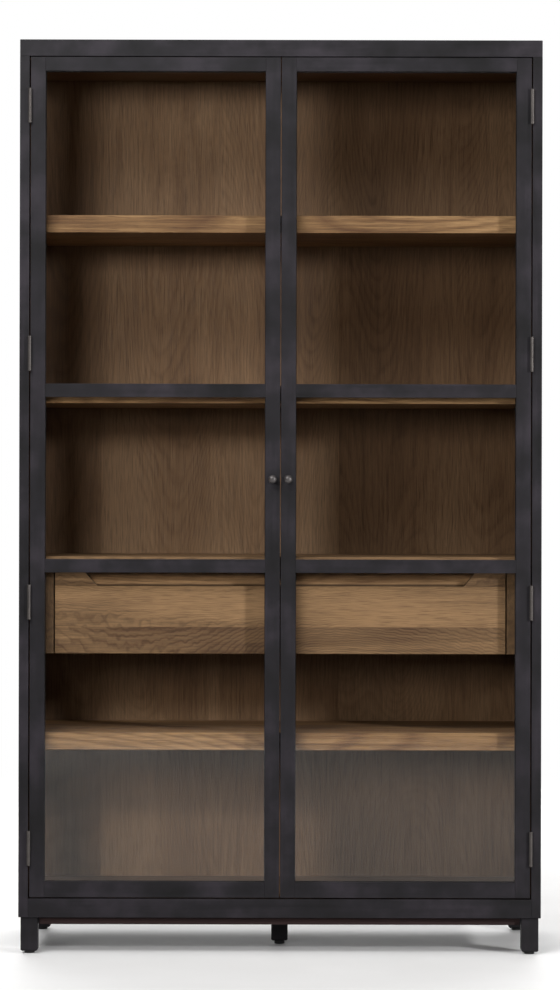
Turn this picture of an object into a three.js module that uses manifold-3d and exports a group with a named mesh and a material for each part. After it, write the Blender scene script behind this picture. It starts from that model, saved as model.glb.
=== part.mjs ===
// Apothecary cabinet: a tall case on short legs, with two inset glazed doors on butt hinges,
// loose oak shelves, and one wide oak drawer behind the doors.
//
// Millimetres, +Z up, front towards -Y. Inside the cabinet group, x = 0 is the middle of the
// width, y = 0 is the plane of the front edges, and z = 0 is the floor. The group is then
// shifted along Y, so that the origin is under the middle of the whole object's box.

import * as THREE from "three";
import { mergeVertices } from "three/addons/utils/BufferGeometryUtils.js";
import Module from "manifold-3d";

// ---------------------------------------------------------------- driving dimensions

const CASE = { width: 1200, depth: 457, height: 2100 };
const SIDE_THICKNESS = 22;
const TOP_THICKNESS = 38;
const FLOOR = [84, 127]; // z of the bottom panel
const BACK_THICKNESS = 12;

const BASE_BOARD = { halfWidth: 553, inset: 20, thickness: 18 };
const LEG = { width: 39, inset: 5, chamfer: 3 };
const CENTRE_LEG_Y = 185;
const GLIDE = { radius: 12, edge: 1.5 };
const GLIDE_HEIGHTS = { corner: 6, centre: 9 };

const SHELF_INSET = 40; // from the front plane back to the shelf edges
const SHELF_THICKNESS = 40;
const SHELF_TOPS = { upper: 1700, middle: 1306, lower: 506 };
const SHELF_END_GAP = 1;
const DRAWER_CASE_TOP = [878, 912]; // z of the drawer's roof

const DRAWER = {
  halfWidth: 520,
  z: [688, 876],
  frontThickness: 25,
  boxDepth: 337,
  boxZ: [700, 850],
  boxFrontTop: 875,
  sideThickness: 14,
  boardThickness: 12,
  bottomZ: [706, 712],
};
const NOTCH = { halfTop: 450, halfBottom: 423, depth: 31.5 };
const COVE = { depth: 12, height: 51 };
const DRAWER_CASE_INNER = 523; // x of the inner face of the blocks beside the drawer
const RUNNER = { z: [769.5, 785.5], reach: 8, gap: 0.5, rise: 1, startY: 66, endY: 440 };

const DOOR = {
  thickness: 20,
  z: [130, 2060],
  meetingGap: 1, // from the middle of the case to each lock stile
  hingeGap: 3,
  stileWidth: 34,
  rabbet: 8,
  rabbetDepth: 10, // left behind the rabbet, towards the front
};
const RAILS = {
  rail_bottom: [130, 166],
  rail_lower: [876, 907],
  rail_upper: [1279, 1310],
  rail_top: [2028, 2060],
};
const GLASS = { thickness: 4, edgeGap: 0.25 };

const HINGE = {
  centres: [1948, 1379, 808, 243],
  height: 80,
  leafThickness: 1.25,
  leafDepth: 20,
  pinProud: 4.5, // from the front plane out to the pin's axis
  knuckleRadius: 4.25,
  knuckles: 5,
  knuckleGap: 0.25,
  pinRadius: 1.5,
  boreRadius: 1.75,
};

const KNOB = { z: 1091, radius: 9.75, reach: 24, stemRadius: 4.75, roseRadius: 7.5 };

const ROUND_SEGMENTS = 24;
const PIN_SEGMENTS = 16;

// ---------------------------------------------------------------- finishes

const BLACK_PAINT = { color: 0x343133, roughness: 0.6, metalness: 0 };
const OAK_PANEL = { color: 0x53412f, roughness: 0.6, metalness: 0 };
const OAK_SHELF = { color: 0x8d6d4c, roughness: 0.55, metalness: 0 };
const STAINED_BOARD = { color: 0x3a2a27, roughness: 0.7, metalness: 0 };
const CLEAR_GLASS = { color: 0xdfe6e4, roughness: 0.05, metalness: 0, transparent: true, opacity: 0.3 };
const HINGE_METAL = { color: 0x69645f, roughness: 0.35, metalness: 0.9 };
const KNOB_METAL = { color: 0x3b3937, roughness: 0.4, metalness: 0.9 };
const GLIDE_PLASTIC = { color: 0x1c1a1a, roughness: 0.5, metalness: 0 };

// ---------------------------------------------------------------- solids

const wasm = await Module();
wasm.setup();

function toSolid(geometry) {
  const bare = geometry.clone();
  bare.deleteAttribute("normal");
  bare.deleteAttribute("uv");
  const merged = mergeVertices(bare);
  return new wasm.Manifold(new wasm.Mesh({
    numProp: 3,
    vertProperties: new Float32Array(merged.attributes.position.array),
    triVerts: new Uint32Array(merged.index.array),
  }));
}

function toGeometry(solid) {
  const mesh = solid.getMesh();
  const geometry = new THREE.BufferGeometry();
  geometry.setAttribute("position", new THREE.BufferAttribute(mesh.vertProperties, 3));
  geometry.setIndex(new THREE.BufferAttribute(mesh.triVerts, 1));
  geometry.computeVertexNormals();
  return geometry;
}

function join(geometries) {
  return toGeometry(geometries.map(toSolid).reduce((whole, piece) => whole.add(piece)));
}

function cut(geometry, cutters) {
  return toGeometry(cutters.map(toSolid).reduce((whole, cutter) => whole.subtract(cutter), toSolid(geometry)));
}

function addMesh(group, name, geometry, finish, position = [0, 0, 0]) {
  const mesh = new THREE.Mesh(geometry, new THREE.MeshStandardMaterial(finish));
  mesh.name = name;
  mesh.position.set(...position);
  group.add(mesh);
  return mesh;
}

// A block fills three spans: [x low, x high], [y low, y high] and [z low, z high].
const middleOf = (spans) => spans.map(([low, high]) => (low + high) / 2);

function blockGeometry(spans, origin = [0, 0, 0]) {
  const sizes = spans.map(([low, high]) => high - low);
  const offset = middleOf(spans).map((value, axis) => value - origin[axis]);
  return new THREE.BoxGeometry(...sizes).translate(...offset);
}

// Adds a block with rectangular cuts, each given as spans in the same frame as the block.
function addBlock(group, name, finish, spans, cuts = []) {
  const origin = middleOf(spans);
  const whole = blockGeometry(spans, origin);
  const geometry = cuts.length ? cut(whole, cuts.map((spans) => blockGeometry(spans, origin))) : whole;
  return addMesh(group, name, geometry, finish, origin);
}

// A cylinder along Z between two heights, centred on the z axis.
function pinGeometry(radius, [low, high], segments) {
  return new THREE.CylinderGeometry(radius, radius, high - low, segments)
    .rotateX(Math.PI / 2)
    .translate(0, 0, (low + high) / 2);
}

const SIDES = [["left", -1], ["right", 1]];

// The same span on either side of the middle plane.
const mirrored = ([low, high], side) => (side > 0 ? [low, high] : [-high, -low]);

// ---------------------------------------------------------------- case

const innerHalfWidth = CASE.width / 2 - SIDE_THICKNESS;
const topUnderside = CASE.height - TOP_THICKNESS;
const backFace = CASE.depth - BACK_THICKNESS;

function addCase(group) {
  const wholeWidth = [-CASE.width / 2, CASE.width / 2];
  const innerWidth = [-innerHalfWidth, innerHalfWidth];
  const wholeDepth = [0, CASE.depth];
  for (const [label, side] of SIDES) {
    const across = mirrored([innerHalfWidth, CASE.width / 2], side);
    addBlock(group, `side_panel_${label}`, BLACK_PAINT, [across, wholeDepth, [FLOOR[0], topUnderside]]);
  }
  addBlock(group, "top_panel", BLACK_PAINT, [wholeWidth, wholeDepth, [topUnderside, CASE.height]]);
  addBlock(group, "bottom_panel", BLACK_PAINT, [innerWidth, wholeDepth, FLOOR]);
  addBlock(group, "back_panel", OAK_PANEL, [innerWidth, [backFace, CASE.depth], [FLOOR[1], topUnderside]]);
  addBlock(group, "base_board", STAINED_BOARD, [
    [-BASE_BOARD.halfWidth, BASE_BOARD.halfWidth],
    [BASE_BOARD.inset, CASE.depth - BASE_BOARD.inset],
    [FLOOR[0] - BASE_BOARD.thickness, FLOOR[0]],
  ]);
}

// A square post whose lower end is chamfered on all four sides: two chamfered outlines, pushed
// through each other at a right angle.
function legGeometry(height) {
  const { width, chamfer } = LEG;
  const half = width / 2;
  const outline = new THREE.Shape([
    [-half + chamfer, 0], [half - chamfer, 0], [half, chamfer],
    [half, height], [-half, height], [-half, chamfer],
  ].map(([x, y]) => new THREE.Vector2(x, y)));
  const along = new THREE.ExtrudeGeometry(outline, { depth: width, bevelEnabled: false })
    .rotateX(Math.PI / 2)
    .translate(0, half, 0);
  const across = along.clone().rotateZ(Math.PI / 2);
  return toGeometry(toSolid(along).intersect(toSolid(across)));
}

function glideGeometry(height) {
  const { radius, edge } = GLIDE;
  const profile = [[0, 0], [radius - edge, 0], [radius, edge], [radius, height], [0, height]];
  return new THREE.LatheGeometry(profile.map(([x, y]) => new THREE.Vector2(x, y)), ROUND_SEGMENTS)
    .rotateX(Math.PI / 2);
}

function addLeg(group, place, [x, y], top, glideHeight) {
  addMesh(group, `leg_${place}`, legGeometry(top - glideHeight), BLACK_PAINT, [x, y, glideHeight]);
  addMesh(group, `glide_${place}`, glideGeometry(glideHeight), GLIDE_PLASTIC, [x, y, 0]);
}

function addLegs(group) {
  const reach = LEG.inset + LEG.width / 2;
  const rows = [["front", reach], ["rear", CASE.depth - reach]];
  for (const [row, y] of rows) {
    for (const [label, side] of SIDES) {
      const spot = [side * (CASE.width / 2 - reach), y];
      addLeg(group, `${row}_${label}`, spot, FLOOR[0], GLIDE_HEIGHTS.corner);
    }
  }
  addLeg(group, "centre", [0, CENTRE_LEG_Y], FLOOR[0] - BASE_BOARD.thickness, GLIDE_HEIGHTS.centre);
}

function addShelves(group) {
  const depth = [SHELF_INSET, backFace];
  const loose = [-innerHalfWidth + SHELF_END_GAP, innerHalfWidth - SHELF_END_GAP];
  for (const [label, top] of Object.entries(SHELF_TOPS)) {
    addBlock(group, `shelf_${label}`, OAK_SHELF, [loose, depth, [top - SHELF_THICKNESS, top]]);
  }
}

// The drawer's roof, and the block on each side of it with the runner that carries the drawer.
function addDrawerCase(group) {
  const depth = [SHELF_INSET, backFace];
  addBlock(group, "drawer_case_top", OAK_SHELF, [[-innerHalfWidth, innerHalfWidth], depth, DRAWER_CASE_TOP]);
  for (const [label, side] of SIDES) {
    const block = [mirrored([DRAWER_CASE_INNER, innerHalfWidth], side), depth, [DRAWER.z[0], DRAWER_CASE_TOP[0]]];
    const runner = [
      mirrored([DRAWER_CASE_INNER - RUNNER.reach, DRAWER_CASE_INNER + RUNNER.reach], side),
      [RUNNER.startY, RUNNER.endY],
      RUNNER.z,
    ];
    const origin = middleOf(block);
    const geometry = join([blockGeometry(block, origin), blockGeometry(runner, origin)]);
    addMesh(group, `drawer_case_side_${label}`, geometry, OAK_SHELF, origin);
  }
}

// ---------------------------------------------------------------- drawer

// The front has a wide finger notch in its top edge, with a cove behind the notch's lip.
function drawerFrontGeometry() {
  const { halfWidth, z, frontThickness } = DRAWER;
  const height = z[1] - z[0];
  const outline = new THREE.Shape([
    [-halfWidth, 0], [halfWidth, 0], [halfWidth, height], [NOTCH.halfTop, height],
    [NOTCH.halfBottom, height - NOTCH.depth], [-NOTCH.halfBottom, height - NOTCH.depth],
    [-NOTCH.halfTop, height], [-halfWidth, height],
  ].map(([x, y]) => new THREE.Vector2(x, y)));
  const board = new THREE.ExtrudeGeometry(outline, { depth: frontThickness, bevelEnabled: false })
    .rotateX(Math.PI / 2)
    .translate(0, frontThickness, 0);
  const cove = blockGeometry([
    [-NOTCH.halfBottom, NOTCH.halfBottom],
    [frontThickness - COVE.depth, frontThickness + COVE.depth],
    [height - COVE.height, height + COVE.height],
  ]);
  return cut(board, [cove]);
}

function addDrawer(group) {
  const { halfWidth, sideThickness, boardThickness, boxZ } = DRAWER;
  const boxFront = SHELF_INSET + DRAWER.frontThickness;
  const boxBack = boxFront + DRAWER.boxDepth;
  const outer = halfWidth - RUNNER.gap;
  const inner = outer - sideThickness;
  const width = [-inner, inner];
  addMesh(group, "drawer_front", drawerFrontGeometry(), OAK_SHELF, [0, SHELF_INSET, DRAWER.z[0]]);
  for (const [label, side] of SIDES) {
    const groove = [
      mirrored([DRAWER_CASE_INNER - RUNNER.reach - RUNNER.gap, outer + RUNNER.reach], side),
      [boxFront - RUNNER.reach, boxBack + RUNNER.reach],
      [RUNNER.z[0] - RUNNER.rise, RUNNER.z[1] + RUNNER.rise],
    ];
    addBlock(group, `drawer_side_${label}`, OAK_SHELF,
      [mirrored([inner, outer], side), [boxFront, boxBack], boxZ], [groove]);
  }
  addBlock(group, "drawer_box_front", OAK_SHELF,
    [width, [boxFront, boxFront + boardThickness], [boxZ[0], DRAWER.boxFrontTop]]);
  addBlock(group, "drawer_back", OAK_SHELF, [width, [boxBack - boardThickness, boxBack], boxZ]);
  addBlock(group, "drawer_bottom", OAK_SHELF,
    [width, [boxFront + boardThickness, boxBack - boardThickness], DRAWER.bottomZ]);
}

// ---------------------------------------------------------------- doors

const doorOuter = innerHalfWidth - DOOR.hingeGap;

// Each stile has a rabbet along its inner back edge for the glass.
function addStiles(group, label, side) {
  const { stileWidth, rabbet, rabbetDepth, thickness, z } = DOOR;
  const stiles = {
    lock_stile: [[DOOR.meetingGap, DOOR.meetingGap + stileWidth], [-rabbet, 0]],
    hinge_stile: [[doorOuter - stileWidth, doorOuter], [0, rabbet]],
  };
  for (const [name, [across, [low, high]]] of Object.entries(stiles)) {
    const inner = name === "lock_stile" ? across[1] : across[0];
    addBlock(group, `${label}_${name}`, BLACK_PAINT, [mirrored(across, side), [0, thickness], z], [
      [mirrored([inner + low, inner + high], side), [rabbetDepth, thickness + rabbetDepth], [z[0] - 1, z[1] + 1]],
    ]);
  }
}

// The end rails are half-lapped into the stiles' rabbets and carry the glass too. The two middle
// rails are bars in front of the glass.
function addRails(group, label, side) {
  const { rabbet, rabbetDepth, thickness } = DOOR;
  const inner = DOOR.meetingGap + DOOR.stileWidth;
  const outer = doorOuter - DOOR.stileWidth;
  const back = [rabbetDepth, thickness + rabbetDepth];
  const front = [-rabbetDepth, rabbetDepth];
  for (const [name, z] of Object.entries(RAILS)) {
    const isEnd = name === "rail_top" || name === "rail_bottom";
    if (!isEnd) {
      addBlock(group, `${label}_${name}`, BLACK_PAINT, [mirrored([inner, outer], side), [0, rabbetDepth], z]);
      continue;
    }
    const tall = [z[0] - 1, z[1] + 1];
    const glassEdge = name === "rail_top" ? [z[0] - 1, z[0] + rabbet] : [z[1] - rabbet, z[1] + 1];
    const long = [inner - rabbet, outer + rabbet];
    addBlock(group, `${label}_${name}`, BLACK_PAINT, [mirrored(long, side), [0, thickness], z], [
      [mirrored([inner - 2 * rabbet, inner], side), front, tall],
      [mirrored([outer, outer + 2 * rabbet], side), front, tall],
      [mirrored([inner - 2 * rabbet, outer + 2 * rabbet], side), back, glassEdge],
    ]);
  }
}

function addGlass(group, label, side) {
  const { rabbet, rabbetDepth, stileWidth, meetingGap } = DOOR;
  const { edgeGap, thickness } = GLASS;
  const spread = rabbet - edgeGap;
  addBlock(group, `${label}_glass`, CLEAR_GLASS, [
    mirrored([meetingGap + stileWidth - spread, doorOuter - stileWidth + spread], side),
    [rabbetDepth, rabbetDepth + thickness],
    [RAILS.rail_bottom[1] - spread, RAILS.rail_top[0] + spread],
  ]);
}

// A turned knob: a flat rose, a short stem and an oval head.
function knobGeometry() {
  const headHalf = 8;
  const headCentre = KNOB.reach - headHalf;
  const profile = [[0, 0], [KNOB.roseRadius, 0], [KNOB.roseRadius, 1.5], [KNOB.stemRadius, 3]];
  const steps = 9;
  for (let step = 0; step <= steps; step += 1) {
    const angle = THREE.MathUtils.lerp(-Math.PI / 3, Math.PI / 2, step / steps);
    const radius = step === steps ? 0 : KNOB.radius * Math.cos(angle);
    profile.push([radius, headCentre + headHalf * Math.sin(angle)]);
  }
  return new THREE.LatheGeometry(profile.map(([x, y]) => new THREE.Vector2(x, y)), ROUND_SEGMENTS);
}

function addKnob(group, label, side) {
  const x = side * (DOOR.meetingGap + DOOR.stileWidth / 2);
  const knob = addMesh(group, `${label}_knob`, knobGeometry(), KNOB_METAL, [x, 0, KNOB.z]);
  knob.rotation.x = Math.PI;
}

// ---------------------------------------------------------------- hinges

// Both leaves lie in the gap beside the door, and the pin stands just proud of the front. In the
// hinge's own frame the pin is the z axis, the case is towards +X and the cabinet's inside +Y.
function knuckleSpans(first) {
  const { height, knuckles, knuckleGap } = HINGE;
  const pitch = height / knuckles;
  const spans = [];
  for (let index = first; index < knuckles; index += 2) {
    const low = -height / 2 + index * pitch;
    const trim = first === 0 ? 0 : knuckleGap;
    spans.push([low + trim, low + pitch - trim]);
  }
  return spans;
}

function leafGeometry(across, first) {
  const { height, leafDepth, pinProud, knuckleRadius } = HINGE;
  const pieces = [blockGeometry([across, [pinProud, pinProud + leafDepth], [-height / 2, height / 2]])];
  for (const span of knuckleSpans(first)) {
    pieces.push(pinGeometry(knuckleRadius, span, ROUND_SEGMENTS));
    pieces.push(blockGeometry([across, [0, pinProud + 1], span]));
  }
  return pieces;
}

const leafGap = DOOR.hingeGap / 2 - HINGE.leafThickness;

function caseHingeGeometry() {
  const pin = pinGeometry(HINGE.pinRadius, [-HINGE.height / 2, HINGE.height / 2], PIN_SEGMENTS);
  return join([...leafGeometry([leafGap, DOOR.hingeGap / 2], 0), pin]);
}

function doorHingeGeometry() {
  const bore = pinGeometry(HINGE.boreRadius, [-HINGE.height, HINGE.height], PIN_SEGMENTS);
  return cut(join(leafGeometry([-DOOR.hingeGap / 2, -leafGap], 1)), [bore]);
}

function addHinges(group, label, side, name, geometry) {
  const x = side * (innerHalfWidth - DOOR.hingeGap / 2);
  HINGE.centres.forEach((z, index) => {
    const leaf = addMesh(group, `${name}_${label}_${index + 1}`, geometry(), HINGE_METAL, [x, -HINGE.pinProud, z]);
    leaf.rotation.y = side > 0 ? 0 : Math.PI;
  });
}

// ---------------------------------------------------------------- assembly

const cabinet = new THREE.Group();
cabinet.position.y = -(CASE.depth - KNOB.reach) / 2;

addCase(cabinet);
addLegs(cabinet);
addShelves(cabinet);
addDrawerCase(cabinet);

const drawer = new THREE.Group();
addDrawer(drawer);
cabinet.add(drawer);

for (const [label, side] of SIDES) {
  const door = new THREE.Group();
  addStiles(door, label, side);
  addRails(door, label, side);
  addGlass(door, label, side);
  addKnob(door, label, side);
  addHinges(door, label, side, "door_hinge", doorHingeGeometry);
  addHinges(cabinet, label, side, "case_hinge", caseHingeGeometry);
  cabinet.add(door);
}

export default cabinet;
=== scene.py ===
"""Apothecary cabinet: materials, fittings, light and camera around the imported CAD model."""

import math

import bmesh
import bpy
from mathutils import Matrix, Vector


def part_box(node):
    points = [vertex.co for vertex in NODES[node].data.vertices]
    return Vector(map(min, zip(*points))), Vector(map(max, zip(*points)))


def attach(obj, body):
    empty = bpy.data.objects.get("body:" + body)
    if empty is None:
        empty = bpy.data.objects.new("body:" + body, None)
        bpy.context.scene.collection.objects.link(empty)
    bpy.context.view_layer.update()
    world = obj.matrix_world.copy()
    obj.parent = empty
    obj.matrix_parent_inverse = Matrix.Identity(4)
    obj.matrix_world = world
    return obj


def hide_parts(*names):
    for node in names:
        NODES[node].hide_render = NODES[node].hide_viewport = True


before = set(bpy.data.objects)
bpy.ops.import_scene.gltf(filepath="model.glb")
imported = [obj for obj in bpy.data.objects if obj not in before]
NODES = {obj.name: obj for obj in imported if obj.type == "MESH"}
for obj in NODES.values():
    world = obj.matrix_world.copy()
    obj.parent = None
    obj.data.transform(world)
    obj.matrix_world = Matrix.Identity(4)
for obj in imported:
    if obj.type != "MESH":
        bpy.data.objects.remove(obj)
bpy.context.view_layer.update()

MM = 0.001
SIDES = (("left", -1), ("right", 1))

# ---------------------------------------------------------------- places taken from the frame

SIDE_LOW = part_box("side_panel_right")[0]
FRONT_Y = SIDE_LOW.y  # the plane of the case's front edges
INNER_X = SIDE_LOW.x  # inner face of the right side panel
BACK_FACE_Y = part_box("back_panel")[0].y
DOOR_BACK_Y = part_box("right_hinge_stile")[1].y
FLOOR_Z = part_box("bottom_panel")[1].z
CEILING_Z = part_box("top_panel")[0].z
NOTCH_DEPTH = 31.5 * MM
NOTCH_EDGE_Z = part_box("drawer_front")[1].z - NOTCH_DEPTH  # lower edge of the drawer's finger notch


# ---------------------------------------------------------------- node helpers

def tone(red, green, blue):
    """A screen colour, 0 to 255, as the linear colour that shaders use."""
    def linear(value):
        share = value / 255
        return share / 12.92 if share <= 0.04045 else ((share + 0.055) / 1.055) ** 2.4
    return (linear(red), linear(green), linear(blue), 1.0)


def scaled(colour, factor):
    return tuple(channel * factor for channel in colour[:3]) + (1.0,)


def shaded(tones, factor):
    return [scaled(colour, factor) for colour in tones]


class Shader:
    """A new material with short calls for the nodes that the finishes are made of."""

    def __init__(self, name):
        self.material = bpy.data.materials.new(name)
        self.material.use_nodes = True
        self.tree = self.material.node_tree
        self.tree.nodes.clear()
        self.output = self.node("ShaderNodeOutputMaterial")

    def node(self, kind, **settings):
        made = self.tree.nodes.new(kind)
        for key, value in settings.items():
            setattr(made, key, value)
        return made

    def feed(self, value, socket):
        """Links an output to a socket, or sets the socket's own value."""
        if isinstance(value, bpy.types.NodeSocket):
            self.tree.links.new(value, socket)
        else:
            socket.default_value = value

    def surface(self, **inputs):
        shader = self.node("ShaderNodeBsdfPrincipled")
        for key, value in inputs.items():
            self.feed(value, shader.inputs[key.replace("_", " ")])
        self.tree.links.new(shader.outputs[0], self.output.inputs["Surface"])
        return shader

    def place(self, scale=(1, 1, 1), shift=(0, 0, 0)):
        """The point on the object, scaled along each axis and shifted."""
        where = self.node("ShaderNodeTexCoord")
        mapping = self.node("ShaderNodeMapping")
        mapping.inputs["Location"].default_value = shift
        mapping.inputs["Scale"].default_value = scale
        self.tree.links.new(where.outputs["Object"], mapping.inputs["Vector"])
        return mapping.outputs[0]

    def noise(self, vector, scale, detail=3.0, roughness=0.55, distortion=0.0):
        made = self.node("ShaderNodeTexNoise")
        for key, value in (("Vector", vector), ("Scale", scale), ("Detail", detail),
                           ("Roughness", roughness), ("Distortion", distortion)):
            self.feed(value, made.inputs[key])
        return made.outputs["Fac"]

    def ramp(self, factor, stops):
        """A colour ramp through (position, colour) stops."""
        made = self.node("ShaderNodeValToRGB")
        ramp = made.color_ramp
        while len(ramp.elements) < len(stops):
            ramp.elements.new(0.5)
        for element, (position, colour) in zip(ramp.elements, stops):
            element.position = position
            element.color = colour if hasattr(colour, "__len__") else (colour, colour, colour, 1)
        self.feed(factor, made.inputs["Fac"])
        return made.outputs["Color"]

    def blend(self, factor, first, second):
        """The second colour or number over the first, by factor."""
        made = self.node("ShaderNodeMix", data_type="RGBA")
        self.feed(factor, made.inputs[0])
        self.feed(first, made.inputs[6])
        self.feed(second, made.inputs[7])
        return made.outputs[2]

    def maths(self, operation, first, second=0.0):
        made = self.node("ShaderNodeMath", operation=operation)
        self.feed(first, made.inputs[0])
        self.feed(second, made.inputs[1])
        return made.outputs[0]

    def span(self, value, low, high, new_low, new_high):
        """A value from low to high, carried over to new_low to new_high."""
        made = self.node("ShaderNodeMapRange")
        for socket, number in zip(made.inputs[:5], (value, low, high, new_low, new_high)):
            self.feed(number, socket)
        return made.outputs[0]

    def bump(self, height, distance, strength=1.0, under=None):
        made = self.node("ShaderNodeBump")
        made.inputs["Strength"].default_value = strength
        made.inputs["Distance"].default_value = distance
        self.feed(height, made.inputs["Height"])
        if under is not None:
            self.feed(under, made.inputs["Normal"])
        return made.outputs[0]


# ---------------------------------------------------------------- finishes

ALONG = {"X": 0, "Y": 1, "Z": 2}
# Tones from dark to light
PAINT_TONES = tone(18, 17, 18), tone(29, 27, 30), tone(46, 42, 47)
SHELF_TONES = tone(84, 56, 36), tone(126, 94, 63), tone(162, 126, 88)
DRAWER_TONES = tone(82, 58, 40), tone(123, 95, 68), tone(157, 122, 88)
BACK_TONES = tone(86, 63, 45), tone(108, 82, 60), tone(125, 98, 74)
PAINT_SHINE = 0.2
OAK_SHINE = 0.3
BACK_LEAF = 289 * MM  # width of a veneer leaf on the back
DRAWER_BOARD = 94 * MM  # height of a board in the drawer's front

# How fine each layer of the oak is across and along the grain, in features per metre
WANDER = (6.0, 1.6)
HILL = (4.2, 0.75)
RIPPLE = (40.0, 52.0)
STREAK = (120.0, 2.6)
FIBRE = (620.0, 9.0)
PORE = (900.0, 22.0)


def stretched(axis, across, along):
    """A scale that is fine across the grain and long along it."""
    scale = [across] * 3
    scale[ALONG[axis]] = along
    return tuple(scale)


def paint_layers(made, axis, seed):
    """Colour, roughness and normal of matte charcoal paint over wood whose grain still shows."""
    shift = (seed, seed * 1.7, seed * 0.6)
    cloud = made.noise(made.place((1, 1, 1), shift), 7.0, 4.0, 0.6)
    streak = made.noise(made.place(stretched(axis, 90, 3), shift), 1.0, 4.0, 0.65)
    speck = made.noise(made.place((1, 1, 1), shift), 420.0, 2.0)
    mottled = made.blend(0.45, made.ramp(cloud, [(0.34, 0.0), (0.66, 1.0)]), streak)
    dark, middle, light = PAINT_TONES
    colour = made.ramp(mottled, [(0.2, dark), (0.5, middle), (0.85, light)])
    grain = made.bump(streak, 0.35 * MM, 0.5)
    return colour, made.span(streak, 0.3, 0.7, 0.5, 0.66), made.bump(speck, 0.06 * MM, 0.5, under=grain)


def leaf_by_leaf(made, point, leaf):
    """The point moved elsewhere in the wood for each board or veneer leaf, and the leaf's number."""
    axis, width = leaf
    part = made.node("ShaderNodeSeparateXYZ")
    made.feed(point, part.inputs[0])
    number = made.maths("FLOOR", made.maths("DIVIDE", part.outputs[axis], width))
    kick = made.node("ShaderNodeCombineXYZ")
    for key, step in (("X", 0.83), ("Y", 0.37), ("Z", 1.31)):
        made.feed(made.maths("MULTIPLY", number, step), kick.inputs[key])
    moved = made.node("ShaderNodeVectorMath", operation="ADD")
    made.feed(point, moved.inputs[0])
    made.feed(kick.outputs[0], moved.inputs[1])
    return moved.outputs[0], number


def oak_layers(made, axis, tones, seed=0.0, leaf=None, wild=0.5, reach=0.2, curl=0.0):
    """Colour, roughness and normal of brushed oak with its grain along axis. leaf is an axis and the
    width of the boards or veneer leaves along it, each of which has a figure of its own. wild is
    how close the rings' arches lie and how strongly they show, and curl is how much they ripple.
    A small reach makes more contrast."""
    dark, middle, light = tones
    point = made.place((1, 1, 1), (seed * 3.1, seed * 1.3, seed * 2.3))
    number = 0.0
    if leaf:
        point, number = leaf_by_leaf(made, point, leaf)

    def grained(across, along):
        mapping = made.node("ShaderNodeMapping")
        mapping.inputs["Scale"].default_value = stretched(axis, across, along)
        made.feed(point, mapping.inputs["Vector"])
        return mapping.outputs[0]

    wander = made.noise(grained(*WANDER), 1.0, 3.0, 0.5)
    hill = made.noise(grained(*HILL), 1.0, 1.0, 0.4, 0.4)
    if curl:
        ripple = made.noise(grained(*RIPPLE), 1.0, 1.0, 0.5)
        hill = made.maths("ADD", hill, made.maths("MULTIPLY", ripple, curl))
    ring_count = 12.0 + 48.0 * wild
    lines = made.maths("FRACT", made.maths("MULTIPLY", hill, ring_count))
    rings = made.ramp(lines, [(0.0, 0.26), (0.3, 0.68), (0.75, 0.56), (1.0, 0.26)])
    streak = made.noise(grained(*STREAK), 1.0, 4.0, 0.7)
    fibre = made.noise(grained(*FIBRE), 1.0, 2.0, 0.6)
    pores = made.ramp(made.noise(grained(*PORE), 1.0, 1.0, 0.5), [(0.36, 0.0), (0.46, 1.0)])

    ring_share = 0.25 if curl else 0.25 + 0.3 * wild
    streak_share = 0.45 - 0.15 * wild
    figure = made.blend(ring_share, wander, rings)
    figure = made.blend(streak_share, figure, streak)
    if leaf:
        luck = made.node("ShaderNodeTexWhiteNoise", noise_dimensions="1D")
        made.feed(number, luck.inputs["W"])
        figure = made.maths("ADD", figure, made.span(luck.outputs["Value"], 0.0, 1.0, -0.06, 0.06))
    colour = made.ramp(figure, [(0.5 - reach, dark), (0.5, middle), (0.5 + reach, light)])
    colour = made.blend(made.span(fibre, 0.3, 0.7, 0.0, 0.35), colour, scaled(dark, 0.8))
    colour = made.blend(made.span(pores, 0.0, 1.0, 0.45, 0.0), colour, scaled(dark, 0.45))
    height = made.maths("ADD", streak, made.maths("MULTIPLY", rings, 0.4))
    normal = made.bump(pores, 0.25 * MM, 0.6, under=made.bump(height, 0.3 * MM, 0.6))
    return colour, made.span(streak, 0.3, 0.7, 0.46, 0.62), normal


def paint(axis, seed=0.0):
    made = Shader(f"black_paint_{axis.lower()}")
    colour, rough, normal = paint_layers(made, axis, seed)
    made.surface(Base_Color=colour, Roughness=rough, Specular_IOR_Level=PAINT_SHINE, Normal=normal)
    return made.material


def oak(name, axis, tones, seed=0.0, leaf=None, wild=0.5, reach=0.2, curl=0.0):
    made = Shader(name)
    colour, rough, normal = oak_layers(made, axis, tones, seed, leaf, wild, reach, curl)
    made.surface(Base_Color=colour, Roughness=rough, Specular_IOR_Level=OAK_SHINE, Normal=normal)
    return made.material


def inside_share(made):
    """1 within the space behind the doors, up to the faces that enclose it, and 0 elsewhere."""
    part = made.node("ShaderNodeSeparateXYZ")
    made.feed(made.place(), part.inputs[0])
    skin = 0.3 * MM
    tests = (
        ("LESS_THAN", made.maths("ABSOLUTE", part.outputs["X"]), INNER_X + skin),
        ("GREATER_THAN", part.outputs["Y"], DOOR_BACK_Y + skin),
        ("LESS_THAN", part.outputs["Y"], BACK_FACE_Y + skin),
        ("GREATER_THAN", part.outputs["Z"], FLOOR_Z - skin),
        ("LESS_THAN", part.outputs["Z"], CEILING_Z + skin),
    )
    share = 1.0
    for operation, value, limit in tests:
        share = made.maths("MULTIPLY", share, made.maths(operation, value, limit))
    return share


def lined_panel(name, axis, seed, tones):
    """A case panel that is painted outside and oak veneer inside."""
    made = Shader(name)
    inside = inside_share(made)
    outer = paint_layers(made, axis, seed)
    inner = oak_layers(made, axis, tones, seed, wild=0.3)
    made.surface(
        Base_Color=made.blend(inside, outer[0], inner[0]),
        Roughness=made.blend(inside, outer[1], inner[1]),
        Normal=outer[2],
        Specular_IOR_Level=PAINT_SHINE,
    )
    return made.material


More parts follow.
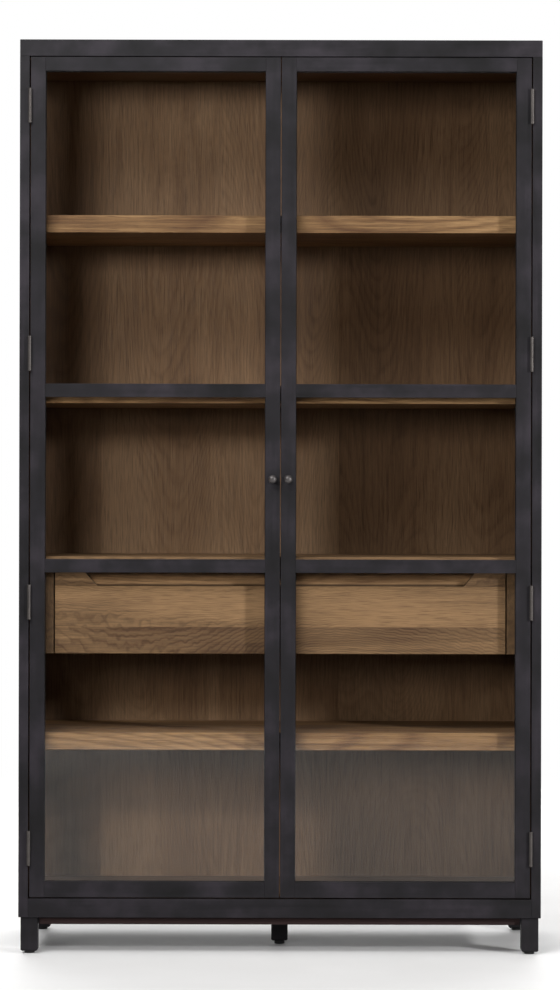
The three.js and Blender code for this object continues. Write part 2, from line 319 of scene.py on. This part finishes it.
SHADE_LINE_RISE = (2 * MM, 6 * MM)  # where the painted shade line above the notch's edge fades and ends


def recess_board(seed):
    """The oak board behind the finger notch. It is painted lighter than the drawer's oak, for light in the
    notch, and has painted shade along the notch's lower edge.
    """
    made = Shader("oak_drawer_box_front")
    # Painted light: the board takes a lighter copy of the drawer's oak, for the light that falls into the
    # notch.
    colour, rough, normal = oak_layers(made, "X", shaded(DRAWER_TONES, 1.8), seed)
    part = made.node("ShaderNodeSeparateXYZ")
    made.feed(made.place(), part.inputs[0])
    fading, ended = (NOTCH_EDGE_Z + rise for rise in SHADE_LINE_RISE)
    # Painted shade: a dark line just above the notch's lower edge that fades upwards.
    shade_line = made.span(part.outputs["Z"], fading, ended, 0.85, 0.0)
    colour = made.blend(shade_line, colour, scaled(DRAWER_TONES[0], 0.3))
    made.surface(Base_Color=colour, Roughness=rough, Specular_IOR_Level=OAK_SHINE, Normal=normal)
    return made.material


def stained_board():
    """A dull red-brown board under the case."""
    made = Shader("stained_board")
    streak = made.noise(made.place(stretched("X", 120, 4)), 1.0, 4.0, 0.65)
    colour = made.ramp(streak, [(0.25, tone(34, 24, 24)), (0.75, tone(58, 43, 42))])
    made.surface(Base_Color=colour, Roughness=0.7, Specular_IOR_Level=0.25,
                 Normal=made.bump(streak, 0.3 * MM, 0.5))
    return made.material


HEAD_ON_SHARE = 0.027  # what the glass mirrors where it is seen straight on
SCHLICK_POWER = 5.0
MIRROR_TINT = (1.0, 0.95, 0.92, 1.0)
GLASS_TINT = (0.97, 0.976, 0.968, 1.0)


def window_glass():
    """Clear float glass: what is behind it shows, and each face mirrors a little, more at a glance.
    The share is Schlick's formula on the facing angle, which is the same from either side."""
    made = Shader("glass")
    mirror = made.node("ShaderNodeBsdfGlossy")
    mirror.inputs["Color"].default_value = MIRROR_TINT
    mirror.inputs["Roughness"].default_value = 0.015
    clear = made.node("ShaderNodeBsdfTransparent")
    clear.inputs["Color"].default_value = GLASS_TINT
    facing = made.node("ShaderNodeLayerWeight")
    glance = made.maths("POWER", facing.outputs["Facing"], SCHLICK_POWER)
    share = made.maths("ADD", made.maths("MULTIPLY", glance, 1 - HEAD_ON_SHARE), HEAD_ON_SHARE)
    mix = made.node("ShaderNodeMixShader")
    made.feed(share, mix.inputs[0])
    made.feed(clear.outputs[0], mix.inputs[1])
    made.feed(mirror.outputs[0], mix.inputs[2])
    made.feed(mix.outputs[0], made.output.inputs["Surface"])
    return made.material


def metal(name, dark, light, rough, metallic=0.85):
    """Satin metal with a faint patina in its colour and gloss."""
    made = Shader(name)
    patina = made.noise(made.place(), 35.0, 3.0, 0.5)
    scratch = made.noise(made.place((900, 900, 60)), 1.0, 2.0, 0.6)
    colour = made.ramp(patina, [(0.25, dark), (0.75, light)])
    made.surface(Base_Color=colour, Metallic=metallic, Normal=made.bump(scratch, 0.02 * MM, 0.3),
                 Roughness=made.span(patina, 0.3, 0.7, rough - 0.03, rough + 0.05))
    return made.material


def moulded_plastic():
    made = Shader("glide_plastic")
    pebble = made.noise(made.place(), 900.0, 2.0)
    made.surface(Base_Color=made.ramp(pebble, [(0.3, tone(22, 21, 22)), (0.7, tone(31, 30, 30))]),
                 Roughness=0.5, Normal=made.bump(pebble, 0.05 * MM, 0.5))
    return made.material


PAINT_UP = paint("Z", seed=0.3)
PAINT_ACROSS = paint("X", seed=1.9)
HINGE_METAL = metal("hinge_metal", tone(76, 72, 70), tone(92, 87, 84), rough=0.5, metallic=0.8)
KNOB_METAL = metal("knob_metal", tone(66, 63, 63), tone(92, 88, 87), rough=0.42, metallic=0.75)
SCREW_METAL = metal("screw_metal", tone(84, 80, 76), tone(120, 115, 110), rough=0.3)
PLASTIC = moulded_plastic()
GLASS = window_glass()
SEED_STEP = 0.31  # how far apart two nodes' pieces of wood lie


def drawer_oak(node, seed):
    """The finish of one of the drawer's own parts or of the case around it."""
    if node == "drawer_front":
        board = ("Z", DRAWER_BOARD)
        return oak(f"oak_{node}", "X", DRAWER_TONES, 0.9, board, wild=1.5, reach=0.11, curl=0.018)
    if node == "drawer_box_front":
        return recess_board(seed)
    if node.startswith("drawer_case_side"):
        # Painted shade: the case sides beside the drawer take a darker copy of the drawer's oak, for the
        # shade of the door stiles.
        return oak(f"oak_{node}", "Y", shaded(DRAWER_TONES, 0.7), seed)
    return oak(f"oak_{node}", "Y" if "side" in node else "X", DRAWER_TONES, seed)


def finish_for(node):
    """The material of a CAD node that stays on show."""
    seed = SEED_STEP * (sorted(NODES).index(node) + 1)
    if node == "base_board":
        return stained_board()
    if node == "back_panel":
        return oak("oak_back", "Z", BACK_TONES, 0.7, ("X", BACK_LEAF), wild=0.9, reach=0.12, curl=0.008)
    if node in ("side_panel_left", "side_panel_right", "top_panel", "bottom_panel"):
        return lined_panel(f"lined_{node}", "Z" if "side" in node else "X", seed, BACK_TONES)
    if node.startswith("drawer"):
        return drawer_oak(node, seed)
    if node.startswith("shelf"):
        # Painted light: the lower shelf takes a lighter copy of the shelf oak, for light bounced up from
        # the floor.
        tones = shaded(SHELF_TONES, 1.2 if node == "shelf_lower" else 1.0)
        return oak(f"oak_{node}", "X", tones, seed, wild=0.3, reach=0.1)
    if node.endswith("glass"):
        return GLASS
    return PAINT_ACROSS if "rail" in node else PAINT_UP


# ---------------------------------------------------------------- mesh helpers

SHARP_ANGLE = 35  # degrees, above which an edge is shaded sharp or rounded off
WELD_REACH = 0.01 * MM
TINY = 1e-7  # a smaller radius is on the axis


def piece(name, body, material, build, replaces=()):
    """A new mesh object, filled by build(bmesh), that rides on a CAD body."""
    shape = bmesh.new()
    build(shape)
    bmesh.ops.recalc_face_normals(shape, faces=shape.faces)
    mesh = bpy.data.meshes.new(name)
    shape.to_mesh(mesh)
    shape.free()
    mesh.set_sharp_from_angle(angle=math.radians(SHARP_ANGLE))
    mesh.materials.append(material)
    made = bpy.data.objects.new(name, mesh)
    bpy.context.scene.collection.objects.link(made)
    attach(made, body)
    if replaces:
        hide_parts(*replaces)
    return made


def soften(made, width, angle=SHARP_ANGLE):
    """Rounds the sharp edges of an object, welding a CAD node's split corners first."""
    weld = made.modifiers.new("weld", "WELD")
    weld.merge_threshold = WELD_REACH
    bevel = made.modifiers.new("bevel", "BEVEL")
    bevel.width = width
    bevel.segments = 2
    bevel.limit_method = "ANGLE"
    bevel.angle_limit = math.radians(angle)
    bevel.harden_normals = True


def add_box(shape, low, high):
    """A box between two corners, whose vertices are given back."""
    low, high = Vector(low), Vector(high)
    matrix = Matrix.Translation((low + high) / 2) @ Matrix.Diagonal([*(high - low), 1])
    return bmesh.ops.create_cube(shape, size=1, matrix=matrix)["verts"]


def add_lathe(shape, profile, matrix, steps=48, smooth=True):
    """Turns (radius, height) points round the z axis, closed where a radius is 0."""
    rings = []
    for radius, height in profile:
        if radius < TINY:
            rings.append([shape.verts.new(matrix @ Vector((0, 0, height)))])
            continue
        rings.append([
            shape.verts.new(matrix @ Vector((radius * math.cos(turn), radius * math.sin(turn), height)))
            for turn in (2 * math.pi * step / steps for step in range(steps))
        ])
    for lower, upper in zip(rings, rings[1:]):
        for step in range(steps):
            after = (step + 1) % steps
            if len(lower) == 1:
                corners = [lower[0], upper[after], upper[step]]
            elif len(upper) == 1:
                corners = [lower[step], lower[after], upper[0]]
            else:
                corners = [lower[step], lower[after], upper[after], upper[step]]
            shape.faces.new(corners).smooth = smooth


def arc(centre, radius, start, stop, steps):
    """Points on an arc in a plane, angles in degrees. radius holds the arc's two half axes."""
    points = []
    for step in range(steps + 1):
        turn = math.radians(start + (stop - start) * step / steps)
        points.append((centre[0] + radius[0] * math.cos(turn), centre[1] + radius[1] * math.sin(turn)))
    return points


# ---------------------------------------------------------------- CAD nodes that stay

PAINT_EDGE = 0.9 * MM
OAK_EDGE = 1.6 * MM
THICK_OAK = ("shelf", "drawer_front", "drawer_case_top")

for node, thing in NODES.items():
    if "knob" in node or node.startswith(("glide", "door_hinge", "case_hinge")):
        continue  # a finer piece takes its place below
    thing.data.materials.clear()
    thing.data.materials.append(finish_for(node))
    if not node.endswith("glass"):
        soften(thing, OAK_EDGE if node.startswith(THICK_OAK) else PAINT_EDGE)


# ---------------------------------------------------------------- knobs

KNOB_FOOT = 7.5 * MM  # radius
KNOB_FOOT_EDGE = 0.8 * MM
KNOB_HEAD = 8 * MM  # half the height of the head's oval


def knob_profile(radius, reach):
    """A flat round foot, a hollow waist and a domed head."""
    points = [(0, 0), (KNOB_FOOT, 0)]
    points += arc((KNOB_FOOT - KNOB_FOOT_EDGE, 0.9 * MM), (KNOB_FOOT_EDGE, KNOB_FOOT_EDGE), 0, 90, 4)
    points += arc((7.2 * MM, 4.4 * MM), (2.5 * MM, 2.6 * MM), 262, 180, 6)
    points += arc((0, reach - KNOB_HEAD), (radius, KNOB_HEAD), -60, 90, 22)
    points[-1] = (0, reach)
    return points


for label, _ in SIDES:
    low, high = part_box(f"{label}_knob")
    spot = Matrix.Translation(((low.x + high.x) / 2, high.y, (low.z + high.z) / 2))
    outward = spot @ Matrix.Rotation(math.radians(90), 4, "X")
    profile = knob_profile((high.x - low.x) / 2, high.y - low.y)
    piece(f"knob_{label}", f"door_{label}", KNOB_METAL,
          lambda shape: add_lathe(shape, profile, outward, 64), replaces=[f"{label}_knob"])


# ---------------------------------------------------------------- glides

GLIDE_RIM = 1.6 * MM  # radius of the rounded edge on the floor
GLIDE_TOP_EDGE = 0.6 * MM


def glide_profile(radius, height):
    """A flat face on the floor, a rounded rim, a straight side and a small chamfer on top."""
    points = [(0, 0), (radius - GLIDE_RIM, 0)]
    points += arc((radius - GLIDE_RIM, GLIDE_RIM), (GLIDE_RIM, GLIDE_RIM), -75, 0, 5)
    return points + [(radius, height - GLIDE_RIM), (radius - GLIDE_TOP_EDGE, height), (0, height)]


for node in sorted(name for name in NODES if name.startswith("glide")):
    low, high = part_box(node)
    profile = glide_profile((high.x - low.x) / 2, high.z)
    spot = Matrix.Translation(((low.x + high.x) / 2, (low.y + high.y) / 2, 0))
    piece(f"foot_{node}", "cabinet", PLASTIC,
          lambda shape: add_lathe(shape, profile, spot, 48), replaces=[node])


# ---------------------------------------------------------------- hinges

LEAF_THICKNESS = 1.25 * MM
LEAF_CORNER = 3 * MM  # radius of its rear corners
LEAF_FRONT = FRONT_Y + 0.1 * MM
LEAF_OVERLAP = 0.2 * MM  # how far a knuckle's strap runs on into the leaf
KNUCKLE_COUNT = 5
KNUCKLE_GAP = 0.1 * MM
KNUCKLE_EDGE = 0.2 * MM
SCREW_RADIUS = 3.4 * MM
SCREW_SINK = 0.25 * MM
SCREW_PROUD = 0.08 * MM
SCREW_ROW_Y = FRONT_Y + 11 * MM
SCREW_STAGGER = 1.8 * MM
SCREW_SPOTS = ((0.16, 1), (0.5, -1), (0.84, 1))  # the share of the height, and the side of the row


def add_screw(shape, matrix):
    """A flat countersunk head, its face on the matrix's z = 0 plane."""
    profile = [(0, -SCREW_SINK), (SCREW_RADIUS, -SCREW_SINK), (SCREW_RADIUS, -0.05 * MM)]
    profile += [(SCREW_RADIUS * 0.94, 0), (0, 0)]
    add_lathe(shape, profile, matrix, 28, smooth=False)


def add_recess_shade(shape, matrix):
    """Painted shade of a screw's cross recess: two thin dark bars just proud of the head."""
    long, wide, proud = SCREW_RADIUS * 0.52, SCREW_RADIUS * 0.13, 0.03 * MM
    for half_x, half_y in ((long, wide), (wide, long)):
        for vert in add_box(shape, (-half_x, -half_y, -0.1 * MM), (half_x, half_y, proud)):
            vert.co = matrix @ vert.co


def add_leaf(shape, back, bottom, top, outer_x, inner_x):
    """A hinge leaf with rounded rear corners: a plate between two x values."""
    upper = arc((back - LEAF_CORNER, top - LEAF_CORNER), (LEAF_CORNER, LEAF_CORNER), 90, 0, 6)
    lower = arc((back - LEAF_CORNER, bottom + LEAF_CORNER), (LEAF_CORNER, LEAF_CORNER), 0, -90, 6)
    outline = [(LEAF_FRONT, bottom), (LEAF_FRONT, top)] + upper + lower
    near = [shape.verts.new((outer_x, y, z)) for y, z in outline]
    far = [shape.verts.new((inner_x, y, z)) for y, z in outline]
    shape.faces.new(near)
    shape.faces.new(list(reversed(far)))
    for index in range(len(outline)):
        after = (index + 1) % len(outline)
        shape.faces.new([near[index], far[index], far[after], near[after]])


def hinge_half(label, side, number, kind):
    """One leaf of a butt hinge with its knuckles, on the case or on the door, and its screws."""
    node = f"{kind}_hinge_{label}_{number}"
    low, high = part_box(node)
    case_low, case_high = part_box(f"case_hinge_{label}_{number}")
    body = "cabinet" if kind == "case" else f"door_{label}"
    outward = side if kind == "case" else -side
    radius = (case_high.x - case_low.x) / 2
    pin_x = (case_low.x + case_high.x) / 2
    pin_y = low.y + radius
    bottom, top = case_low.z, case_high.z
    pitch = (top - bottom) / KNUCKLE_COUNT
    outer_x = pin_x + outward * (INNER_X - abs(pin_x))
    inner_x = outer_x - outward * LEAF_THICKNESS

    def build(shape):
        add_leaf(shape, high.y, bottom, top, outer_x, inner_x)
        for index in range(0 if kind == "case" else 1, KNUCKLE_COUNT, 2):
            start = bottom + index * pitch + KNUCKLE_GAP
            stop = bottom + (index + 1) * pitch - KNUCKLE_GAP
            narrow = radius - KNUCKLE_EDGE
            profile = [(0, start), (narrow, start), (radius, start + KNUCKLE_EDGE)]
            profile += [(radius, stop - KNUCKLE_EDGE), (narrow, stop), (0, stop)]
            add_lathe(shape, profile, Matrix.Translation((pin_x, pin_y, 0)), 40)
            add_box(shape, (min(outer_x, inner_x), pin_y, start),
                    (max(outer_x, inner_x), LEAF_FRONT + LEAF_OVERLAP, stop))

    piece(f"hinge_{kind}_{label}_{number}", body, HINGE_METAL, build, replaces=[node])
    name = f"{kind}_{label}_{number}"
    add_screws(name, body, inner_x, -outward, bottom, top)


def add_screws(name, body, face_x, toward, bottom, top):
    """Three screws in a leaf, on the face that shows when the door is open. toward is the way that
    the face looks along x."""
    turn = Matrix.Rotation(math.radians(90 * toward), 4, "Y")
    places = []
    for share, lean in SCREW_SPOTS:
        spot = (face_x + toward * SCREW_PROUD, SCREW_ROW_Y + lean * SCREW_STAGGER,
                bottom + share * (top - bottom))
        places.append(Matrix.Translation(spot) @ turn)
    piece(f"screws_{name}", body, SCREW_METAL,
          lambda shape: [add_screw(shape, place) for place in places])
    # Painted shade: dark bars on the screw heads stand in for the shade in their cross recesses.
    piece(f"screw_recess_shade_{name}", body, PLASTIC,
          lambda shape: [add_recess_shade(shape, place) for place in places])


for label, side in SIDES:
    for number in range(1, 5):
        for kind in ("case", "door"):
            hinge_half(label, side, number, kind)


# ---------------------------------------------------------------- glazing beads

BEAD_DROP = 0.4 * MM  # how far the bead stays below the stile's back
BEAD_WIDTH = 9 * MM
BEAD_SKIN = 0.05 * MM  # its gap to the glass
BEAD_FLAT = 0.45  # the share of its width and depth that stays flat before the rounding


def add_bead(shape, start, stop, inward, width, depth, back_y):
    """A mitred strip behind the glass from start to stop, with a rounded inner edge. inward is the
    direction from the rebate towards the middle of the pane."""
    run = (stop - start).normalized()
    curve = 1 - BEAD_FLAT
    rounding = arc((width * BEAD_FLAT, depth * BEAD_FLAT), (width * curve, depth * curve), 0, 90, 5)
    section = [(0, 0), (width, 0)] + rounding + [(0, depth)]
    ends = []
    for corner, lean in ((start, 1), (stop, -1)):
        ends.append([
            shape.verts.new(corner + inward * across + run * across * lean + Vector((0, back_y + out, 0)))
            for across, out in section
        ])
    count = len(section)
    for index in range(count):
        after = (index + 1) % count
        shape.faces.new([ends[0][index], ends[0][after], ends[1][after], ends[1][index]])
    shape.faces.new(list(reversed(ends[0])))
    shape.faces.new(ends[1])


for label, _ in SIDES:
    glass_low, glass_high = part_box(f"{label}_glass")
    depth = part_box(f"{label}_lock_stile")[1].y - glass_high.y - BEAD_DROP
    left, right, low_z, high_z = glass_low.x, glass_high.x, glass_low.z, glass_high.z
    corners = [Vector(corner) for corner in
               ((left, 0, low_z), (right, 0, low_z), (right, 0, high_z), (left, 0, high_z))]
    edges = (("bottom", (0, 0, 1), PAINT_ACROSS), ("right", (-1, 0, 0), PAINT_UP),
             ("top", (0, 0, -1), PAINT_ACROSS), ("left", (1, 0, 0), PAINT_UP))
    for index, (name, inward, finish) in enumerate(edges):
        start, stop = corners[index], corners[(index + 1) % 4]
        piece(f"bead_{label}_{name}", f"door_{label}", finish,
              lambda shape: add_bead(shape, start, stop, Vector(inward), BEAD_WIDTH, depth,
                                     glass_high.y + BEAD_SKIN))


# ---------------------------------------------------------------- shelf pins

PIN_RADIUS = 2.5 * MM
PIN_LENGTH = 11.6 * MM
PIN_EDGE = 0.5 * MM
PIN_COLLAR = 4.6 * MM  # radius
PIN_COLLAR_ENDS = (-0.5 * MM, 0.8 * MM)  # from the side panel's face
PIN_INSET = 45 * MM  # from the shelf's front and back edges
PAD_THICKNESS = 1.6 * MM
PAD_GAP = 0.1 * MM  # under the shelf
PAD_HALF_WIDTH = 5 * MM
PAD_SPAN = (2 * MM, 14 * MM)  # from the side panel


def add_shelf_pin(shape, y, shelf_under, side):
    """A spoon pin: a round peg out of the side panel and a flat pad under the shelf."""
    peg_z = shelf_under - PAD_THICKNESS - PIN_RADIUS
    turn = Matrix.Rotation(math.radians(-90 * side), 4, "Y")
    sideways = Matrix.Translation((side * INNER_X, y, peg_z)) @ turn
    hidden, shown = PIN_COLLAR_ENDS
    profile = [(0, hidden), (PIN_COLLAR, hidden), (PIN_COLLAR, shown), (PIN_RADIUS, 1.0 * MM)]
    profile += [(PIN_RADIUS, PIN_LENGTH - 0.6 * MM), (PIN_RADIUS - PIN_EDGE, PIN_LENGTH), (0, PIN_LENGTH)]
    add_lathe(shape, profile, sideways, 24)
    near, far = sorted(side * (INNER_X - reach) for reach in PAD_SPAN)
    pad_top = shelf_under - PAD_GAP
    add_box(shape, (near, y - PAD_HALF_WIDTH, pad_top - PAD_THICKNESS), (far, y + PAD_HALF_WIDTH, pad_top))


for label in ("upper", "middle", "lower"):
    shelf_low, shelf_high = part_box(f"shelf_{label}")
    rows = (shelf_low.y + PIN_INSET, shelf_high.y - PIN_INSET)
    spots = [(y, side) for side in (-1, 1) for y in rows]
    pins = piece(f"shelf_pins_{label}", "cabinet", HINGE_METAL,
                 lambda shape: [add_shelf_pin(shape, y, shelf_low.z, side) for y, side in spots])
    soften(pins, 0.3 * MM, angle=50)


# ---------------------------------------------------------------- door catches

PLATE_THICKNESS = 1.2 * MM
PLATE_HALF_WIDTH = 10 * MM
PLATE_DROP = (4 * MM, 16 * MM)  # its top and bottom, below the top panel
CATCH_OFFSET = 4 * MM  # from the middle of the stile towards the hinge
CATCH_GAP = 0.5 * MM  # from the plate to the magnet


CATCH_SKIN = 0.05 * MM  # from the housing to the top panel
HOUSING = {"half_width": 14 * MM, "start": 0, "stop": 15 * MM, "height": 13 * MM}
FLANGE = {"half_width": 21 * MM, "start": 3 * MM, "stop": 12 * MM, "height": 3 * MM}


def add_catch(shape, x, front, under):
    """A magnet housing under the top panel, behind the door, with a screw flange at each end."""
    for part in (HOUSING, FLANGE):
        low = (x - part["half_width"], front + part["start"], under - part["height"])
        add_box(shape, low, (x + part["half_width"], front + part["stop"], under))


for label, side in SIDES:
    stile_low, stile_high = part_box(f"{label}_lock_stile")
    x = (stile_low.x + stile_high.x) / 2 + side * CATCH_OFFSET
    plate_back = stile_high.y + PLATE_THICKNESS
    plate_low = (x - PLATE_HALF_WIDTH, stile_high.y, CEILING_Z - PLATE_DROP[1])
    plate_high = (x + PLATE_HALF_WIDTH, plate_back, CEILING_Z - PLATE_DROP[0])
    catch = piece(f"catch_{label}", "cabinet", PLASTIC,
                  lambda shape: add_catch(shape, x, plate_back + CATCH_GAP, CEILING_Z - CATCH_SKIN))
    soften(catch, 0.8 * MM)
    plate = piece(f"catch_plate_{label}", f"door_{label}", HINGE_METAL,
                  lambda shape: add_box(shape, plate_low, plate_high))
    soften(plate, 0.4 * MM)


# ---------------------------------------------------------------- stage, light and camera

FLOOR_AHEAD = 1.6  # how far the floor's middle lies in front of the cabinet
FLOOR_RADIUS = 7
FLOOR_FADE = (4.5, 6.1)  # where the floor starts to fade and where it has gone
FLOOR_TONES = (0.78, 0.775, 0.77, 1), (0.82, 0.815, 0.81, 1)


def stage_floor():
    """A pale floor that fades out far from the cabinet."""
    made = Shader("floor")
    where = made.node("ShaderNodeTexCoord").outputs["Object"]
    far = made.node("ShaderNodeVectorMath", operation="LENGTH")
    made.tree.links.new(where, far.inputs[0])
    open_share = made.span(far.outputs["Value"], *FLOOR_FADE, 1.0, 0.0)
    dust = made.noise(where, 2.5, 3.0)
    colour = made.ramp(dust, [(0.3, FLOOR_TONES[0]), (0.7, FLOOR_TONES[1])])
    made.surface(Base_Color=colour, Roughness=0.6, Specular_IOR_Level=0.2, Alpha=open_share)
    shape = bmesh.new()
    bmesh.ops.create_circle(shape, cap_ends=True, segments=96, radius=FLOOR_RADIUS)
    mesh = bpy.data.meshes.new("floor")
    shape.to_mesh(mesh)
    shape.free()
    mesh.materials.append(made.material)
    floor = bpy.data.objects.new("floor", mesh)
    bpy.context.scene.collection.objects.link(floor)
    floor.location.y = -FLOOR_AHEAD
    floor.visible_diffuse = False


def add_sun(name, azimuth, elevation, strength, spread):
    """A sun that shines from azimuth degrees right of the front, elevation degrees up."""
    data = bpy.data.lights.new(name, "SUN")
    data.energy = strength
    data.angle = math.radians(spread)
    light = bpy.data.objects.new(name, data)
    bpy.context.scene.collection.objects.link(light)
    turn, rise = math.radians(azimuth), math.radians(elevation)
    source = Vector((math.sin(turn) * math.cos(rise), -math.cos(turn) * math.cos(rise), math.sin(rise)))
    light.rotation_euler = source.to_track_quat("Z", "Y").to_euler()


def add_panel(name, place, aim, size, energy, glossy=False):
    """A large soft panel of light that faces the point aim."""
    data = bpy.data.lights.new(name, "AREA")
    data.shape = "RECTANGLE"
    data.size, data.size_y = size
    data.energy = energy
    light = bpy.data.objects.new(name, data)
    bpy.context.scene.collection.objects.link(light)
    light.location = place
    light.rotation_euler = (Vector(place) - Vector(aim)).to_track_quat("Z", "Y").to_euler()
    light.visible_glossy = glossy


def add_lamp(name, azimuth, distance, height, size, energy, glossy=False):
    """A softbox, azimuth degrees right of the front, aimed at the case."""
    turn = math.radians(azimuth)
    place = (distance * math.sin(turn), FRONT_Y - distance * math.cos(turn), height)
    add_panel(name, place, (0, FRONT_Y, height / 2), size, energy, glossy)


def white_surroundings():
    """White behind everything for the camera alone, so that only the lamps light the cabinet."""
    world = bpy.data.worlds.new("white_room")
    world.use_nodes = True
    world.node_tree.nodes["Background"].inputs["Color"].default_value = (1, 1, 1, 1)
    bpy.context.scene.world = world
    for ray in ("diffuse", "glossy", "transmission", "scatter"):
        setattr(world.cycles_visibility, ray, False)


CAMERA_DISTANCE = 7.4
CAMERA_HEIGHT = 1.055
VIEW_HEIGHT = 2.273  # what the frame's long side covers at the cabinet's front
CAMERA_ROLL = -0.13  # degrees
CAMERA_SIDE = -1 * MM  # how far the camera stands from the cabinet's middle
SENSOR = 36.0  # millimetres

stage_floor()
add_lamp("soft_left", azimuth=-19, distance=8.0, height=2.2, size=(4.2, 1.6), energy=300)
add_lamp("hard_right", azimuth=49.2, distance=5.1, height=2.0, size=(0.45, 0.45), energy=180, glossy=True)
add_sun("overhead", azimuth=0, elevation=80, strength=0.8, spread=90)
add_sun("behind", azimuth=180, elevation=15, strength=1.3, spread=50)
add_panel("high_front", place=(-1.6, -2.6, 3.6), aim=(0, -0.2, 1.8), size=(2.5, 1.2), energy=125,
          glossy=True)
add_panel("floor_wash", place=(0, 3.6, 3.2), aim=(0, 2.6, 0), size=(6, 3), energy=180)
white_surroundings()

camera_data = bpy.data.cameras.new("camera")
camera_data.sensor_width = SENSOR
camera_data.lens = SENSOR * CAMERA_DISTANCE / VIEW_HEIGHT
camera = bpy.data.objects.new("camera", camera_data)
bpy.context.scene.collection.objects.link(camera)
camera.location = (CAMERA_SIDE, FRONT_Y - CAMERA_DISTANCE, CAMERA_HEIGHT)
camera.rotation_euler = (math.radians(90), math.radians(CAMERA_ROLL), 0)
bpy.context.scene.camera = camera
bpy.context.scene.view_settings.view_transform = "Standard"
